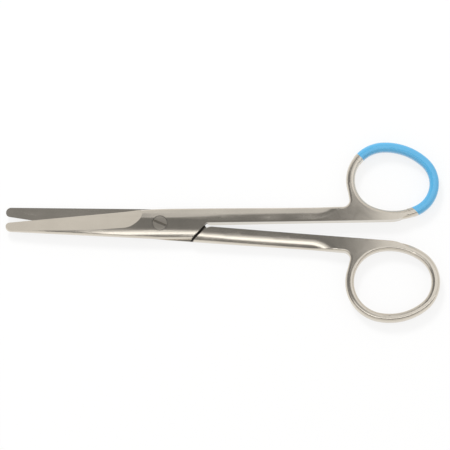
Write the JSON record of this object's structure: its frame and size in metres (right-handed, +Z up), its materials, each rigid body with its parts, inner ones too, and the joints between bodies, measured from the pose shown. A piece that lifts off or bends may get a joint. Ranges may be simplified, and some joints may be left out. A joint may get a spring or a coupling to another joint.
{
  "type": "dissecting scissors",
  "caption": "Slim straight surgical scissors with rounded tips, flat lap joint, slotted pivot screw and egg-shaped finger rings, one ring with a blue plastic coat.",
  "frame": {"origin": "on the pivot's axis, at the underside of the joint, where the scissors rest", "axes": "+X from the pivot towards the finger rings, between the two shanks; +Y towards the coated ring; +Z up along the pivot's axis, out of the screw's slotted head"},
  "size_m": [0.1446, 0.061, 0.0046],
  "materials": {
    "front_steel": "satin ground steel, grain along the shank",
    "rear_steel": "satin ground steel, grain along the shank",
    "screw_steel": "ground steel",
    "blue_coat": "smooth glossy dipped coat"
  },
  "bodies": {
    "rear": {"rear_half": "rear_steel", "pivot_screw": "screw_steel"},
    "front": {"front_half": "front_steel", "ring_coating": "blue_coat"}
  },
  "joints": [
    {"name": "pivot", "type": "hinge", "parent": "rear", "child": "front", "pos_m": [0, 0, 0.0023], "axis": [0, 0, 1], "range_deg": [-4, 50]}
  ]
}
